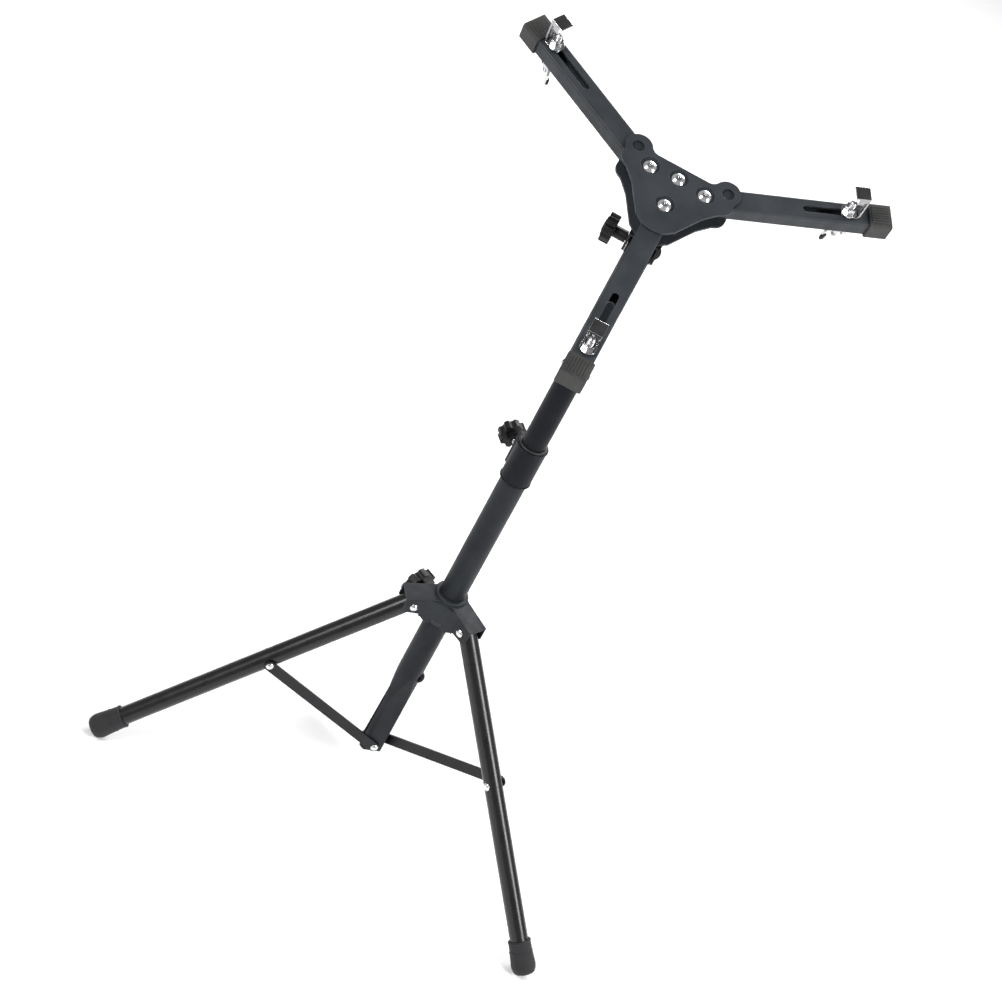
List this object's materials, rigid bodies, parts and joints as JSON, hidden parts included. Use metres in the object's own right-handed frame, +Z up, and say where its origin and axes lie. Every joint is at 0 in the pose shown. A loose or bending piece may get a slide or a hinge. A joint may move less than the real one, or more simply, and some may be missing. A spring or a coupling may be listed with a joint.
{
  "type": "folding tripod stand",
  "caption": "Folding tripod stand with a telescoping mast and a tilting head whose slotted arms carry sliding hooks.",
  "frame": {"origin": "on the floor, in the middle of the whole stand seen from above; the mast axis stands 59.7 mm towards -Y from it", "axes": "+Z up along the mast, -Y the side the head leans towards, where the bottom arm points, +X to the right seen from that side"},
  "size_m": [0.5468, 0.507, 0.8808],
  "materials": {
    "mast_paint": "semi-gloss near-black powder coat",
    "inner_paint": "satin black enamel",
    "sleeve_paint": "satin black powder coat",
    "block_paint": "satin black",
    "hub_paint": "matt dark grey powder coat",
    "leg_paint": "gloss black paint",
    "brace_paint": "gloss black paint",
    "bush": "plain moulded",
    "knob_plastic": "lightly textured black",
    "foot_rubber": "matt dark grey",
    "cap_rubber": "matt dark grey, ribbed",
    "plate_paint": "matt dark slate-grey powder coat",
    "arm_paint": "matt dark slate-grey powder coat",
    "bright_rivet": "polished",
    "screw_steel": "plated steel thread",
    "hook_chrome": "bright plated strip",
    "nut_chrome": "bright plated"
  },
  "bodies": {
    "mast": {"outer_mast": "mast_paint", "mast_rivets": "bright_rivet", "stop_screw": "block_paint", "height_sleeve": "sleeve_paint"},
    "height_knob": {"height_knob": "knob_plastic", "height_screw": "screw_steel"},
    "slider": {"inner_bush": "bush"},
    "inner_mast": {"inner_mast": "inner_paint", "tilt_block": "block_paint"},
    "head": {"tilt_bracket": "sleeve_paint", "tilt_bolt": "block_paint", "back_plate": "plate_paint", "front_plate": "plate_paint", "head_rivets": "bright_rivet", "bottom_arm": "arm_paint", "bottom_cap": "cap_rubber"},
    "tilt_knob": {"tilt_knob": "knob_plastic"},
    "left_arm": {"left_arm": "arm_paint", "left_cap": "cap_rubber"},
    "right_arm": {"right_arm": "arm_paint", "right_cap": "cap_rubber"},
    "left_clamp": {"left_hook_bolt": "screw_steel", "left_hook_nuts": "nut_chrome"},
    "left_hook": {"left_hook": "hook_chrome"},
    "left_wing_nut": {"left_wing_nut": "nut_chrome"},
    "right_clamp": {"right_hook_bolt": "screw_steel", "right_hook_nuts": "nut_chrome"},
    "right_hook": {"right_hook": "hook_chrome"},
    "right_wing_nut": {"right_wing_nut": "nut_chrome"},
    "bottom_clamp": {"bottom_hook_bolt": "screw_steel", "bottom_hook_nuts": "nut_chrome"},
    "bottom_hook": {"bottom_hook": "hook_chrome"},
    "bottom_wing_nut": {"bottom_wing_nut": "nut_chrome"},
    "hub": {"hub": "hub_paint", "hub_rivets": "bright_rivet"},
    "hub_knob": {"hub_knob": "knob_plastic", "hub_screw": "screw_steel"},
    "left_leg": {"leg_left": "leg_paint", "foot_left": "foot_rubber", "leg_rivet_left": "bright_rivet"},
    "left_brace": {"brace_left": "brace_paint", "brace_rivet_left": "bright_rivet"},
    "right_leg": {"leg_right": "leg_paint", "foot_right": "foot_rubber", "leg_rivet_right": "bright_rivet"},
    "right_brace": {"brace_right": "brace_paint", "brace_rivet_right": "bright_rivet"},
    "back_leg": {"leg_back": "leg_paint", "foot_back": "foot_rubber", "leg_rivet_back": "bright_rivet"},
    "back_brace": {"brace_back": "brace_paint", "brace_rivet_back": "bright_rivet"}
  },
  "joints": [
    {"name": "height_slide", "type": "slide", "parent": "mast", "child": "slider", "axis": [0, 0, 1], "range_m": [-0.16, 0.1]},
    {"name": "head_swivel", "type": "hinge", "parent": "slider", "child": "inner_mast", "pos_m": [0, -0.0597, 0.338], "axis": [0, 0, 1], "range_deg": [-180, 180]},
    {"name": "head_tilt", "type": "hinge", "parent": "inner_mast", "child": "head", "pos_m": [0, -0.0597, 0.756], "axis": [0.9997, 0.0262, 0], "range_deg": [-45, 30]},
    {"name": "height_knob_turn", "type": "hinge", "parent": "mast", "child": "height_knob", "pos_m": [-0.02524, -0.02366, 0.478], "axis": [-0.5736, 0.8192, 0], "range_deg": [0, 360]},
    {"name": "tilt_knob_turn", "type": "hinge", "parent": "head", "child": "tilt_knob", "pos_m": [-0.03299, -0.06056, 0.756], "axis": [-0.9997, -0.0262, 0], "range_deg": [0, 360]},
    {"name": "left_arm_fold", "type": "hinge", "parent": "head", "child": "left_arm", "pos_m": [-0.02895, -0.03521, 0.81696], "axis": [0.0109, -0.4146, 0.91], "range_deg": [0, 118.6]},
    {"name": "right_arm_fold", "type": "hinge", "parent": "head", "child": "right_arm", "pos_m": [0.02763, -0.03372, 0.81696], "axis": [0.0109, -0.4146, 0.91], "range_deg": [-117, 0]},
    {"name": "left_hook_slide", "type": "slide", "parent": "left_arm", "child": "left_clamp", "axis": [-0.8891, 0.4125, 0.1985], "range_m": [-0.049, 0]},
    {"name": "left_hook_swivel", "type": "hinge", "parent": "left_clamp", "child": "left_hook", "pos_m": [-0.16054, 0.02584, 0.84634], "axis": [0.0109, -0.4146, 0.91], "range_deg": [-90, 90]},
    {"name": "left_wing_nut_turn", "type": "hinge", "parent": "left_clamp", "child": "left_wing_nut", "pos_m": [-0.16075, 0.03413, 0.82814], "axis": [0.0109, -0.4146, 0.91], "range_deg": [0, 360]},
    {"name": "right_hook_slide", "type": "slide", "parent": "right_arm", "child": "right_clamp", "axis": [0.8799, 0.4363, 0.1883], "range_m": [-0.04, 0.01]},
    {"name": "right_hook_swivel", "type": "hinge", "parent": "right_clamp", "child": "right_hook", "pos_m": [0.14993, 0.02692, 0.84313], "axis": [0.0109, -0.4146, 0.91], "range_deg": [-90, 90]},
    {"name": "right_wing_nut_turn", "type": "hinge", "parent": "right_clamp", "child": "right_wing_nut", "pos_m": [0.14972, 0.03521, 0.82493], "axis": [0.0109, -0.4146, 0.91], "range_deg": [0, 360]},
    {"name": "bottom_hook_slide", "type": "slide", "parent": "head", "child": "bottom_clamp", "axis": [0.0238, -0.9096, -0.4147], "range_m": [-0.063, 0]},
    {"name": "bottom_hook_swivel", "type": "hinge", "parent": "bottom_clamp", "child": "bottom_hook", "pos_m": [0.00426, -0.22253, 0.73122], "axis": [0.0109, -0.4146, 0.91], "range_deg": [-90, 90]},
    {"name": "bottom_wing_nut_turn", "type": "hinge", "parent": "bottom_clamp", "child": "bottom_wing_nut", "pos_m": [0.00405, -0.21424, 0.71302], "axis": [0.0109, -0.4146, 0.91], "range_deg": [0, 360]},
    {"name": "hub_slide", "type": "slide", "parent": "mast", "child": "hub", "axis": [0, 0, 1], "range_m": [0, 0.1308]},
    {"name": "hub_knob_turn", "type": "hinge", "parent": "hub", "child": "hub_knob", "pos_m": [-0.03681, -0.03845, 0.257], "axis": [-0.866, 0.5, 0], "range_deg": [0, 360]},
    {"name": "left_leg_hinge", "type": "hinge", "parent": "hub", "child": "left_leg", "pos_m": [-0.03291, -0.0787, 0.269], "axis": [0.5, -0.866, 0], "range_deg": [-1, 47]},
    {"name": "left_brace_hinge", "type": "hinge", "parent": "mast", "child": "left_brace", "pos_m": [0.00585, -0.06983, 0.048], "axis": [0.5, -0.866, 0], "range_deg": [-46, 1]},
    {"name": "right_leg_hinge", "type": "hinge", "parent": "hub", "child": "right_leg", "pos_m": [0.03291, -0.0787, 0.269], "axis": [0.5, 0.866, 0], "range_deg": [-1, 47]},
    {"name": "right_brace_hinge", "type": "hinge", "parent": "mast", "child": "right_brace", "pos_m": [0.00585, -0.04957, 0.048], "axis": [0.5, 0.866, 0], "range_deg": [-46, 1]},
    {"name": "back_leg_hinge", "type": "hinge", "parent": "hub", "child": "back_leg", "pos_m": [0, -0.0217, 0.269], "axis": [-1, 0, 0], "range_deg": [-1, 47]},
    {"name": "back_brace_hinge", "type": "hinge", "parent": "mast", "child": "back_brace", "pos_m": [-0.0117, -0.0597, 0.048], "axis": [-1, 0, 0], "range_deg": [-46, 1]}
  ],
  "couplings": [
    {"joint": "left_leg_hinge", "follows": "hub_slide", "rad_per_m": 6.085},
    {"joint": "left_brace_hinge", "follows": "hub_slide", "rad_per_m": -5.99},
    {"joint": "right_leg_hinge", "follows": "hub_slide", "rad_per_m": 6.085},
    {"joint": "right_brace_hinge", "follows": "hub_slide", "rad_per_m": -5.99},
    {"joint": "back_leg_hinge", "follows": "hub_slide", "rad_per_m": 6.085},
    {"joint": "back_brace_hinge", "follows": "hub_slide", "rad_per_m": -5.99}
  ]
}
